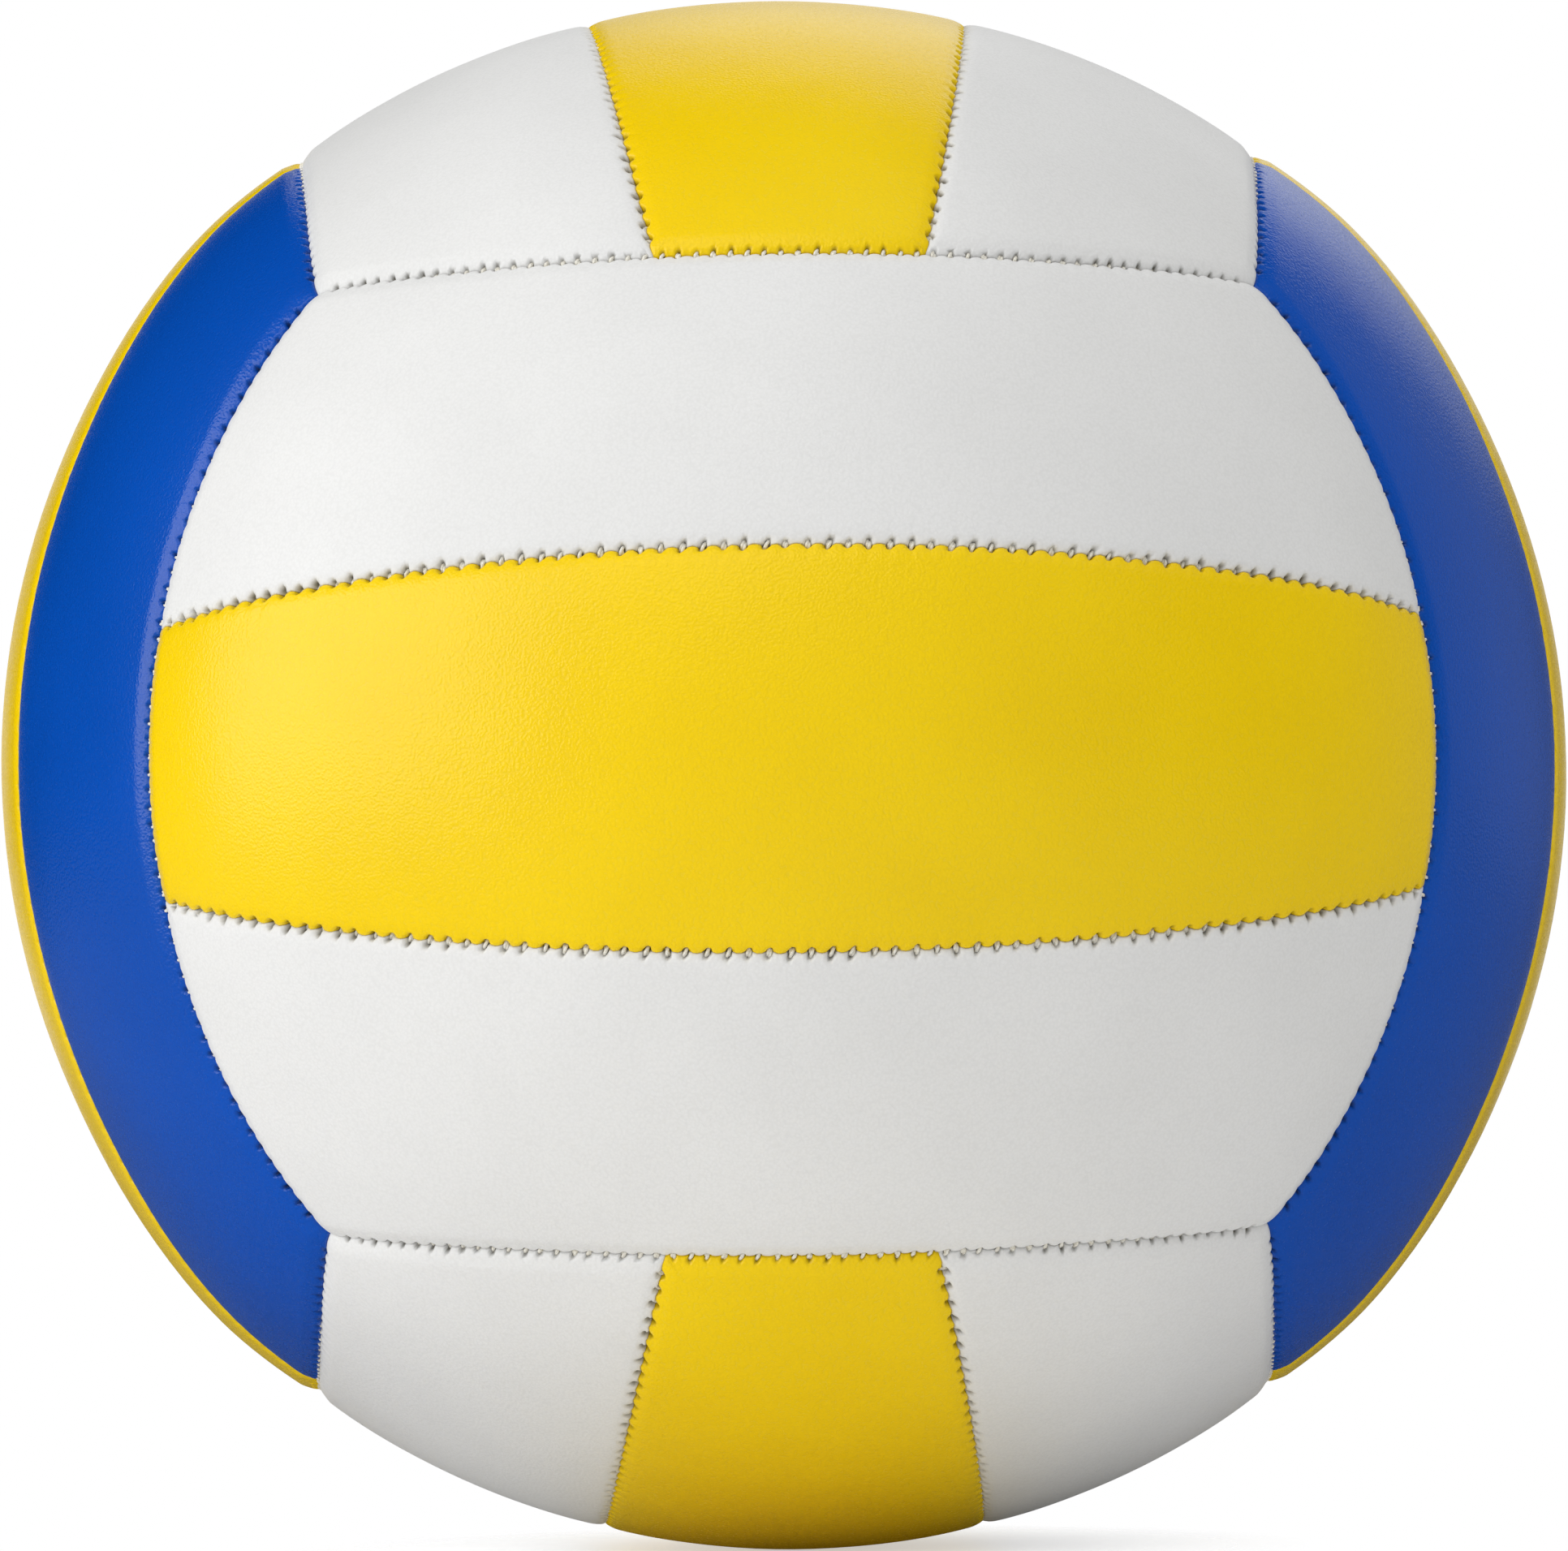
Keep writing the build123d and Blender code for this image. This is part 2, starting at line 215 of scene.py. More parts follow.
# How the cover is drawn in by its seams and swelled by the air behind it,
# at the seams between strips and at the ends of strips
coverForm = {
    "shoulder": {"strip": 0.25 * mm, "end": 0.25 * mm},         # the broad fall towards a seam
    "shoulderWidth": {"strip": 3.0 * mm, "end": 4.0 * mm},
    "bevelDrop": {"strip": 0.34 * mm, "end": 0.70 * mm},        # the slope beside it
    "bevelWidth": {"strip": 1.7 * mm, "end": 2.4 * mm},
    "bevelCurve": 1.3,          # 1 is a straight slope
    "rollDrop": {"strip": 0.22 * mm, "end": 0.30 * mm},         # the turned edge
    "rollWidth": {"strip": 0.7 * mm, "end": 0.7 * mm},
    "pitDepth": {"strip": 1.25 * mm, "end": 0.90 * mm},         # the pit round each stitch
    "pitAlong": {"strip": 0.54 * mm, "end": 0.46 * mm},
    "pitAcross": {"strip": 1.16 * mm, "end": 0.98 * mm},
    "pitOther": 0.60,           # how far it reaches into the other panel, as a part of that
    "pitWall": (0.35, 1.05),    # from its flat bottom to its brim, as parts of its size
    "pitOpening": 0.10 * mm,    # how far the stitch draws the edge back
    "pitOpeningWidth": 0.4 * mm,
    "pitRim": 0.05 * mm,
    "pitRimAt": (1.2, 0.2),     # its place and width, as parts of the pit's size
    "pitShade": (0.58, 0.98),   # where its painted shade fades out, as parts of its size
    "pitShadeAtSeam": (0.3, 0.6 * mm),          # part of that painted shade right at the seam, and where it is whole
    "scallop": {"strip": 0.16 * mm, "end": 0.12 * mm},          # swing of the edges between stitches
    "scallopWidth": 0.9 * mm,
    "pucker": 0.12 * mm,        # waves between stitches
    "puckerWidth": 1.2 * mm,
    "puckerAlong": 0.55 * mm,
    "puckerLevel": 0.35,        # the part of a wave that stands above the cover
    "seamLine": {"strip": 0.24, "end": 0.13},   # how dark the painted shade along the bare seam is
    "seamLineWidth": 0.12 * mm,
    "valveShade": 0.9,          # how dark the painted shade in the hole for the valve gets
    "endSwell": 1.0 * mm,       # the strips swell before their ends
    "endSwellAt": 43.0,         # degrees from the face's middle
    "endSwellWidth": (13.0, 8.0),               # towards the middle, towards the end
    "flattened": {"top": 1.45 * mm, "bottom": 0.80 * mm},
    "edgeSwell": 0.45 * mm,     # fuller between the top or bottom and the sides
    "sideSwell": 0.20 * mm,
    "lean": 1.4 * mm,           # the left side sits a little high
    "leanBlend": 0.2,           # how gradually that starts at the middle
    "waviness": 0.05 * mm,
    "waves": {"count": 6, "perRadius": 38, "seed": 7},
}
layersDepth = 4.3 * mm          # cover, pad and lining together
waves = coverForm["waves"]
waveRandom = np.random.default_rng(waves["seed"])
waveRuns = waveRandom.normal(0, 1, (waves["count"], 3)) * waves["perRadius"]
waveStarts = waveRandom.uniform(0, 2 * math.pi, waves["count"])


def nearestStitch(seam, along):
    places = seam["stitchAt"]
    index = np.searchsorted((places[1:] + places[:-1]) / 2, along)
    return along - places[index], seam["stitchPull"][index], seam["stitchLean"][index]


def cornerFade(seam, along):
    # 1 along most of a seam, falling to 0 at its two ends
    return np.clip((seam["halfArc"] * seam["arcRadius"] - np.abs(along)) / stitching["endMargin"], 0, 1)


def smoothFall(value, start, end):
    part = np.clip((value - start) / (end - start), 0, 1)
    return 1 - part * part * (3 - 2 * part)


def ballSwell(spots):
    # The whole ball sits a little flatter at its top and bottom
    flattened = np.where(spots[:, 2] > 0, coverForm["flattened"]["top"], coverForm["flattened"]["bottom"])
    swell = coverForm["sideSwell"] - flattened * spots[:, 2] ** 2
    swell += coverForm["edgeSwell"] * 4 * (spots[:, 0] * spots[:, 2]) ** 2      # whole at 45 degrees
    leftward = (np.hypot(spots[:, 0], coverForm["leanBlend"]) - spots[:, 0]) / 2
    swell += coverForm["lean"] * spots[:, 2] * leftward * (1 - spots[:, 1] ** 2)
    return swell + coverForm["waviness"] * np.sin(spots @ waveRuns.T + waveStarts).mean(axis=1)


def sunkSurface(spots, deep):
    # A layer below the outside, which follows the ball's swell less the deeper it lies
    swell = ballSwell(spots) * max(1 - deep / layersDepth, 0)
    return spots * (ballRadius + swell - deep)[:, None]


def coverSurface(plan, spots):
    # Where each point of the cover's outside lies, how much painted shade it gets in a seam or a stitch's
    # pit, and its place along and across the nearest seam
    along, axis = plan["frame"][:, 0], plan["frame"][:, 2]
    past = np.degrees(np.abs(np.arctan2(spots @ along, spots @ axis))) - coverForm["endSwellAt"]
    swell = coverForm["endSwell"] * np.exp(-(past / np.where(past < 0, *coverForm["endSwellWidth"])) ** 2)
    swell += ballSwell(spots)
    drop, rolled, creaseShade = np.zeros(len(spots)), np.zeros(len(spots)), np.zeros(len(spots))
    shift, nearest = np.zeros_like(spots), np.full((len(spots), 3), 1.0)
    (rimAt, rimWidth), (atSeam, wholeFrom) = coverForm["pitRimAt"], coverForm["pitShadeAtSeam"]
    for edge in plan["edges"]:
        seam, kind = edge["seam"], edge["seam"]["kind"]
        height = np.clip(spots @ seam["axis"], -1, 1)
        angle = np.arccos(height)
        depth = np.maximum((seam["halfAngle"] - angle) * edge["inside"] * ballRadius, 0)
        inward = (seam["axis"] - height[:, None] * spots) / np.sin(angle)[:, None] * edge["inside"]
        runs = seamAzimuth(seam, spots) * seam["arcRadius"]
        off, pull, lean = nearestStitch(seam, runs)
        off = off - lean * depth * edge["inside"]
        sloped = np.clip(1 - depth / coverForm["bevelWidth"][kind], 0, 1)
        turned = np.clip(1 - depth / coverForm["rollWidth"][kind], 0, 1)
        fall = coverForm["bevelDrop"][kind] * sloped ** coverForm["bevelCurve"]
        fall += coverForm["rollDrop"][kind] * (1 - np.sqrt(1 - turned ** 2))
        rolled += fall ** 2
        drop += coverForm["shoulder"][kind] * np.exp(-depth / coverForm["shoulderWidth"][kind])
        bitten = seam["bites"] == edge["inside"]
        wide = coverForm["pitAcross"][kind] * pull * (1 if bitten else coverForm["pitOther"])
        reach = np.hypot(off / coverForm["pitAlong"][kind], depth / wide)
        pit = smoothFall(reach, *coverForm["pitWall"])
        rim = np.exp(-((reach - rimAt) / rimWidth) ** 2)
        drop += coverForm["pitDepth"][kind] * pit - coverForm["pitRim"] * rim
        wave = pull * np.exp(-(off / coverForm["puckerAlong"]) ** 2) - coverForm["puckerLevel"]
        drop += coverForm["pucker"] * wave * np.exp(-depth / coverForm["puckerWidth"])
        opened = coverForm["pitOpening"] * pit * np.exp(-depth / coverForm["pitOpeningWidth"])
        shift += inward * opened[:, None]
        phase = np.clip(off / seam["pitch"], -0.5, 0.5)
        swing = np.cos(2 * math.pi * phase) * np.exp(-depth / coverForm["scallopWidth"])
        away = -1 if bitten else 1
        shift += inward * (away * coverForm["scallop"][kind] * swing * cornerFade(seam, runs))[:, None]
        # painted shade in the hole at the far end of each stitch's pit
        hollow = smoothFall(reach, *coverForm["pitShade"])
        hollow = hollow * (atSeam + (1 - atSeam) * np.clip(depth / wholeFrom, 0, 1))
        # painted shade along the bare seam, where the two edges meet
        line = coverForm["seamLine"][kind] * np.exp(-depth / coverForm["seamLineWidth"])
        creaseShade = np.maximum(creaseShade, np.maximum(line, hollow))
        closer = depth < nearest[:, 1]
        nearest[closer] = np.stack([runs, depth, depth * 0], axis=1)[closer]
    return spots * (ballRadius + swell - drop - np.sqrt(rolled))[:, None] + shift, creaseShade, nearest


panelMesh = {
    "along": 512,               # points along a panel's sides and across its ends, in its finest rings
    "across": 160,
    "gather": 0.62,             # how far the points close up round each stitch
    "gatherFade": 2 * mm,       # less so this near a corner
    "drawnIn": {"along": 0.12, "across": 0.36},     # the part of a row that moves with its end
    "valveBlock": {8: (3, 6), 16: (2, 2)},      # cells of the inner grid left out either side of the valve
}
# The rings of points that a panel's mesh is made of, from the inside round its edge to the outside:
# millimetres in from the seam, millimetres below the ball's surface (None for the swelled outside),
# and how many times fewer points than the finest
coverRings = [(1.33, 1.25, 8), (1.33, 4.25, 8), (0.05, 4.25, 4), (0.05, 3.2, 2)]
coverRings += [(inset, None, 1) for inset in (0, 0.14, 0.3, 0.48, 0.68, 0.9, 1.16, 1.5, 2.0)]
coverRings += [(inset, None, 2) for inset in (2.5, 3.1, 3.8)]
coverRings += [(inset, None, 4) for inset in (4.6, 5.5, 6.4, 7.4)] + [(8.6, None, 8)]
foamRings = [(1.75, 3.7, 16), (1.5, 3.45, 16), (1.5, 1.65, 16), (1.75, 1.33, 16)]
liningRings = [(1.6, 4.3, 16), (1.5, 4.25, 16), (1.5, 3.85, 16), (1.6, 3.8, 16)]


def gatherRound(edge, corners, t):
    # Moves points evenly spaced along an edge closer to the stitches, so that the pits come out crisp
    seam = edge["seam"]
    first, last = (seamAzimuth(seam, c) for c in corners)
    along = (first + (last - first) * t) * seam["arcRadius"]
    off = nearestStitch(seam, along)[0]
    phase = np.clip(off / seam["pitch"], -0.5, 0.5)
    room = np.minimum(t, 1 - t) * abs(last - first) * seam["arcRadius"]
    fade = np.clip(room / panelMesh["gatherFade"], 0, 1)
    along = along - panelMesh["gather"] * seam["pitch"] * np.sin(2 * math.pi * phase) / (2 * math.pi) * fade
    return (along / seam["arcRadius"] - first) / (last - first)


def ringPlaces(plan, acrossCount, alongCount, gathered):
    x, y = np.arange(alongCount) / alongCount, np.arange(acrossCount) / acrossCount
    sides = [x, y, x, y]
    if gathered:
        c = panelCorners(plan)
        ends = [(c[k], c[(k + 1) % 4]) for k in range(4)]
        sides = [gatherRound(*side) for side in zip(plan["edges"], ends, sides)]
    a, b, c, d = sides
    return np.concatenate([a, b * 0 + 1, 1 - c, d * 0]), np.concatenate([a * 0, b, c * 0 + 1, 1 - d])


def gridPlaces(acrossCount, alongCount):
    x, y = np.meshgrid(np.arange(alongCount + 1) / alongCount, np.arange(acrossCount + 1) / acrossCount)
    return x.ravel(), y.ravel()


def squeeze(place, inset, within):
    # Draws a row in at both ends and leaves the rest of it where it was
    near = inset + place * (within - inset) / within
    far = 1 - inset - (1 - place) * (within - inset) / within
    return np.where(place < within, near, np.where(place > 1 - within, far, place))


def bridgeRings(first, second):
    # Faces between two rings, where one may have half the points of the other
    a, b = np.asarray(first), np.asarray(second)
    a1, b1 = np.roll(a, -1), np.roll(b, -1)
    if len(a) == len(b):
        return np.stack([a, a1, b1, b], axis=1).tolist()
    if len(a) > len(b):
        start, half, end = a[0::2], a[1::2], a1[1::2]
        rows = [(start, half, b), (half, b1, b), (half, end, b1)]
    else:
        start, half, end = b[0::2], b[1::2], b1[1::2]
        rows = [(a, half, start), (a, a1, half), (a1, end, half)]
    return [face for row in rows for face in np.stack(row, axis=1).tolist()]


def gridEdge(grid):
    return np.concatenate([grid[0, :-1], grid[:-1, -1], grid[-1, :0:-1], grid[:0:-1, 0]])


def panelShell(plan, rings, valveHole=None):
    # One closed shell: a grid inside, rings round the edge, a grid outside
    at = panelMap(plan)
    points, creases, places, faces, loops, holes = [], [], [], [], [], []
    total = 0

    def place(x, y, inset, deep):
        bottomRun, topRun, height = plan["lengths"]
        v = squeeze(y, inset / height, panelMesh["drawnIn"]["across"])
        u = squeeze(x, inset / (bottomRun * (1 - v) + topRun * v), panelMesh["drawnIn"]["along"])
        spots = at(u, v)
        if deep is None:
            return coverSurface(plan, spots)
        return sunkSurface(spots, deep), np.zeros(len(spots))

    # dark is how much painted shade each point gets
    def keep(spots, dark, nearest=None):
        nonlocal total
        points.append(spots)
        creases.append(dark)
        places.append(np.full((len(spots), 3), 1.0) if nearest is None else nearest)
        total += len(spots)
        return np.arange(total - len(spots), total)

    for index, (inset, deep, step) in enumerate(rings):
        deep = None if deep is None else deep * mm
        alongCount, acrossCount = panelMesh["along"] // step, panelMesh["across"] // step
        if index not in (0, len(rings) - 1):
            x, y = ringPlaces(plan, acrossCount, alongCount, step == 1)
            loops.append(keep(*place(x, y, inset * mm, deep)))
            continue
        x, y = gridPlaces(acrossCount, alongCount)
        grid = keep(*place(x, y, inset * mm, deep)).reshape(acrossCount + 1, alongCount + 1)
        loops.append(gridEdge(grid))
        cells = np.stack([grid[:-1, :-1], grid[:-1, 1:], grid[1:, 1:], grid[1:, :-1]], axis=2)
        wanted = np.ones(cells.shape[:2], bool)
        if valveHole:
            i, j = alongCount // 2, acrossCount // 2
            di, dj = panelMesh["valveBlock"][step]
            wanted[j - dj:j + dj, i - di:i + di] = False
            block = grid[j - dj:j + dj + 1, i - di:i + di + 1]
            holes.append(gridEdge(block))
        quads = cells[wanted]
        faces += (quads[:, ::-1] if index == 0 else quads).tolist()
    for first, second in zip(loops, loops[1:]):
        faces += bridgeRings(first, second)
    if valveHole:
        faces += valveRim(plan, np.concatenate(points), holes, keep, valveHole)
    vertices = np.concatenate(points)
    used = np.unique(np.concatenate([np.ravel(f) for f in faces]))
    renumber = np.full(len(vertices), -1)
    renumber[used] = np.arange(len(used))
    faces = [[int(renumber[k]) for k in f] for f in faces]
    return vertices[used], faces, np.concatenate(creases)[used], np.concatenate(places)[used]


def valveRim(plan, vertices, holes, keep, valveHole):
    # Rings from the cut-out in the outer grid, over the rolled rim of the hole, to the inner grid
    along, across, axis = plan["frame"].T
    inner, outer = holes
    turn = np.arctan2(vertices[outer] @ across, vertices[outer] @ along)
    outward = np.cos(turn)[:, None] * along + np.sin(turn)[:, None] * across
    chain = [outer]
    for radius, deep in valveHole:
        spots = axis + outward * (radius * mm / ballRadius)
        spots /= np.linalg.norm(spots, axis=1)[:, None]
        # painted shade down the valve's hole, darker the deeper the ring lies
        dark = np.full(len(spots), min(deep, coverForm["valveShade"]))
        chain.append(keep(sunkSurface(spots, deep * mm), dark))
    chain.append(inner)
    made = []
    for first, second in zip(chain, chain[1:]):
        made += bridgeRings(first, second)
    return made


def meshPiece(name, vertices, faces, creases=None, places=None):
    mesh = bpy.data.meshes.new(name)
    mesh.from_pydata(np.asarray(vertices).tolist(), [], faces)
    mesh.polygons.foreach_set("use_smooth", np.ones(len(mesh.polygons), bool))
    if creases is not None:
        # how much painted shade each point gets, for the cover's material
        creaseShade = mesh.attributes.new("creaseShade", "FLOAT", "POINT")
        creaseShade.data.foreach_set("value", creases.astype(np.float32))
        seamPlace = mesh.attributes.new("seamPlace", "FLOAT_VECTOR", "POINT")
        seamPlace.data.foreach_set("vector", places.ravel().astype(np.float32))
    mesh.update()
    piece = bpy.data.objects.new(name, mesh)
    bpy.context.scene.collection.objects.link(piece)
    return piece


# Shared effects

def newNode(tree, kind, place=(0, 0), **settings):
    node = tree.nodes.new(kind)
    node.location = place
    for key, value in settings.items():
        setattr(node, key, value)
    return node


def makeGroup(name, inputs, outputs):
    group = bpy.data.node_groups.new(name, "ShaderNodeTree")
    for label, kind, value in inputs:
        socket = group.interface.new_socket(label, in_out="INPUT", socket_type=kind)
        socket.default_value = value
    for label, kind in outputs:
        group.interface.new_socket(label, in_out="OUTPUT", socket_type=kind)
    return group, newNode(group, "NodeGroupInput", (-900, 0)), newNode(group, "NodeGroupOutput", (700, 0))


def mathNode(tree, operation, first, second, place=(0, 0)):
    node = newNode(tree, "ShaderNodeMath", place, operation=operation)
    for socket, value in zip(node.inputs, (first, second)):
        if isinstance(value, (int, float)):
            socket.default_value = value
        else:
            tree.links.new(value, socket)
    return node.outputs[0]


pebbleForm = {
    "warpScale": 700,           # per metre
    "warp": 0.5 * mm,           # how far the cells are pushed out of shape
    "smoothness": 0.6,
    "fineScale": 1.9,           # times as many as the cells
    "mottleScale": 38,          # per metre
}


def makeGrain():
    # Pebbled grain: rounded cells of uneven size with finer creases between them
    group, given, result = makeGroup(
        "pebbleGrain",
        [("Cells per Metre", "NodeSocketFloat", 1900), ("Fine Part", "NodeSocketFloat", 0.35)],
        [("Height", "NodeSocketFloat"), ("Tone", "NodeSocketFloat"), ("Mottle", "NodeSocketFloat")])
    link = group.links.new
    coord = newNode(group, "ShaderNodeTexCoord", (-900, 300)).outputs["Object"]
    warp = newNode(group, "ShaderNodeTexNoise", (-700, 300))
    warp.inputs["Scale"].default_value = pebbleForm["warpScale"]
    warp.inputs["Detail"].default_value = 1
    link(coord, warp.inputs["Vector"])
    bend = newNode(group, "ShaderNodeVectorMath", (-500, 300), operation="MULTIPLY_ADD")
    bend.inputs[1].default_value = [pebbleForm["warp"]] * 3
    link(warp.outputs["Color"], bend.inputs[0])
    link(coord, bend.inputs[2])
    cells = newNode(group, "ShaderNodeTexVoronoi", (-250, 300), feature="SMOOTH_F1")
    cells.inputs["Smoothness"].default_value = pebbleForm["smoothness"]
    link(bend.outputs[0], cells.inputs["Vector"])
    link(given.outputs["Cells per Metre"], cells.inputs["Scale"])
    fine = newNode(group, "ShaderNodeTexNoise", (-250, 0))
    fine.inputs["Detail"].default_value = 2
    link(coord, fine.inputs["Vector"])
    finer = mathNode(group, "MULTIPLY", given.outputs["Cells per Metre"], pebbleForm["fineScale"], (-500, 0))
    link(finer, fine.inputs["Scale"])
    pebble = mathNode(group, "SUBTRACT", 1.0, cells.outputs["Distance"], (0, 300))
    fineBit = mathNode(group, "MULTIPLY", fine.outputs["Fac"], given.outputs["Fine Part"], (0, 0))
    link(mathNode(group, "ADD", pebble, fineBit, (200, 200)), result.inputs["Height"])
    link(pebble, result.inputs["Tone"])
    mottle = newNode(group, "ShaderNodeTexNoise", (-250, -300))
    mottle.inputs["Scale"].default_value = pebbleForm["mottleScale"]
    mottle.inputs["Detail"].default_value = 3
    link(coord, mottle.inputs["Vector"])
    link(mottle.outputs["Fac"], result.inputs["Mottle"])
    return group


def newMaterial(name):
    material = bpy.data.materials.new(name)
    material.use_nodes = True
    tree = material.node_tree
    return material, tree, tree.nodes["Principled BSDF"]


def mixColour(tree, amount, first, second, place=(0, 0), blend="MIX"):
    node = newNode(tree, "ShaderNodeMix", place, data_type="RGBA", blend_type=blend)
    for socket, value in ((node.inputs[0], amount), (node.inputs[6], first), (node.inputs[7], second)):
        if hasattr(value, "is_linked"):
            tree.links.new(value, socket)
        else:
            socket.default_value = value if isinstance(value, (int, float)) else (*value, 1)
    return node.outputs[2]


def spread(tree, value, low, high, newLow, newHigh, place=(0, 0)):
    node = newNode(tree, "ShaderNodeMapRange", place)
    for socket, number in zip(node.inputs[1:5], (low, high, newLow, newHigh)):
        socket.default_value = number
    tree.links.new(value, node.inputs[0])
    return node.outputs[0]


def bumpFrom(tree, height, strength, distance, place=(-200, -300)):
    bump = newNode(tree, "ShaderNodeBump", place)
    bump.inputs["Strength"].default_value = strength
    bump.inputs["Distance"].default_value = distance
    tree.links.new(height, bump.inputs["Height"])
    return bump.outputs["Normal"]


grainGroup = makeGrain()

# Linear colours; shade is painted shade, the cover as it looks down in a seam, a stitch's pit or the valve's
# hole
coverFinish = {
    "white": {"colour": (0.79, 0.79, 0.78), "pale": (0.82, 0.82, 0.81), "shade": (0.07, 0.06, 0.035),
              "roughness": 0.42, "specular": 0.30, "bump": 0.60},
    "yellow": {"colour": (0.93, 0.635, 0.0008), "pale": (0.96, 0.665, 0.0010), "shade": (0.09, 0.06, 0.002),
               "roughness": 0.23, "specular": 0.65, "bump": 1.0},
    "blue": {"colour": (0.0008, 0.074, 0.45), "pale": (0.0010, 0.079, 0.48), "shade": (0.001, 0.010, 0.05),
             "roughness": 0.22, "specular": 0.80, "bump": 1.0},
}
coverGrain = {
    "cellsPerMetre": 2600,
    "finePart": 0.20,
    "depth": 0.05 * mm,
    "sheen": (0.5, 0.5, 0.5, 1),                # the grain breaks up glancing reflections
    "toneShade": 0.05,          # how much painted shade darkens the cover between the grain's cells
    "seamShade": 0.9,           # and how much painted shade shows down in the seams and pits
    "roughSwing": (0.06, -0.03),                # between the cells, and on top of them
}
# Fine wrinkles running into the seams
gathers = {"perMetre": 1500, "stretch": 0.16, "reach": 3.0 * mm, "height": 1.0}


def gatherHeight(tree):
    # seamPlace holds how far along the nearest seam a point is, and how far from it
    place = newNode(tree, "ShaderNodeAttribute", (-1500, -600), attribute_name="seamPlace").outputs["Vector"]
    drawn = newNode(tree, "ShaderNodeVectorMath", (-1300, -600), operation="MULTIPLY")
    drawn.inputs[1].default_value = (1, gathers["stretch"], 0)
    tree.links.new(place, drawn.inputs[0])
    ridges = newNode(tree, "ShaderNodeTexNoise", (-1100, -600))
    ridges.inputs["Scale"].default_value = gathers["perMetre"]
    ridges.inputs["Detail"].default_value = 1
    tree.links.new(drawn.outputs[0], ridges.inputs["Vector"])
    away = newNode(tree, "ShaderNodeSeparateXYZ", (-1300, -800))
    tree.links.new(place, away.inputs[0])
    fade = spread(tree, away.outputs["Y"], 0, gathers["reach"], gathers["height"], 0, (-1100, -800))
    return mathNode(tree, "MULTIPLY", ridges.outputs["Fac"], fade, (-700, -600))


def makeCoverMaterial(colour):
    finish = coverFinish[colour]
    material, tree, shader = newMaterial(colour + "Cover")
    grain = newNode(tree, "ShaderNodeGroup", (-900, 0), node_tree=grainGroup)
    grain.inputs["Cells per Metre"].default_value = coverGrain["cellsPerMetre"]
    grain.inputs["Fine Part"].default_value = coverGrain["finePart"]
    creaseShade = newNode(tree, "ShaderNodeAttribute", (-900, -300), attribute_name="creaseShade").outputs["Fac"]
    height = mathNode(tree, "ADD", grain.outputs["Height"], gatherHeight(tree), (-350, -450))
    patch = spread(tree, grain.outputs["Mottle"], 0.35, 0.65, 0, 1, (-700, 200))
    mottled = mixColour(tree, patch, finish["colour"], finish["pale"], (-500, 200))
    # painted shade between the grain's cells
    dip = spread(tree, grain.outputs["Tone"], 0.25, 0.75, coverGrain["toneShade"], 0, (-700, 0))
    toned = mixColour(tree, dip, mottled, finish["shade"], (-300, 200))
    # painted shade in the seams, stitch pits and valve hole, from the mesh's shade attribute
    deep = spread(tree, creaseShade, 0.05, 0.95, 0, coverGrain["seamShade"], (-700, -300))
    shaded = mixColour(tree, deep, toned, finish["shade"], (-100, 200))
    tree.links.new(shaded, shader.inputs["Base Color"])
    roughest, smoothest = (finish["roughness"] + swing for swing in coverGrain["roughSwing"])
    rough = spread(tree, grain.outputs["Tone"], 0.2, 0.8, roughest, smoothest, (-300, -100))
    tree.links.new(rough, shader.inputs["Roughness"])
    shader.inputs["Specular IOR Level"].default_value = finish["specular"]
    shader.inputs["Specular Tint"].default_value = coverGrain["sheen"]
    tree.links.new(bumpFrom(tree, height, finish["bump"], coverGrain["depth"]), shader.inputs["Normal"])
    return material


coverMaterials = {colour: makeCoverMaterial(colour) for colour in coverFinish}
print("cover materials made")

foamFinish = {
    "colour": (0.62, 0.58, 0.46),
    "cell": (0.34, 0.31, 0.23),
    "cellsPerMetre": 1400,
    "finePart": 0.7,
    "roughness": 0.9,
    "bump": 0.7,
    "depth": 0.2 * mm,
}
clothFinish = {
    "colour": (0.56, 0.53, 0.45),
    "gap": (0.22, 0.20, 0.16),
    "ribsPerMetre": 500,
    "unevenness": 0.6,
    "roughness": 0.85,
    "bump": 0.6,
    "depth": 0.15 * mm,
}


def makeFoamMaterial():
    material, tree, shader = newMaterial("foamPad")
    grain = newNode(tree, "ShaderNodeGroup", (-900, 0), node_tree=grainGroup)
    grain.inputs["Cells per Metre"].default_value = foamFinish["cellsPerMetre"]
    grain.inputs["Fine Part"].default_value = foamFinish["finePart"]
    cell = spread(tree, grain.outputs["Tone"], 0.2, 0.7, 1, 0, (-600, 0))
    tone = mixColour(tree, cell, foamFinish["colour"], foamFinish["cell"], (-300, 0))
    tree.links.new(tone, shader.inputs["Base Color"])
    shader.inputs["Roughness"].default_value = foamFinish["roughness"]
    normal = bumpFrom(tree, grain.outputs["Height"], foamFinish["bump"], foamFinish["depth"])
    tree.links.new(normal, shader.inputs["Normal"])
    return material


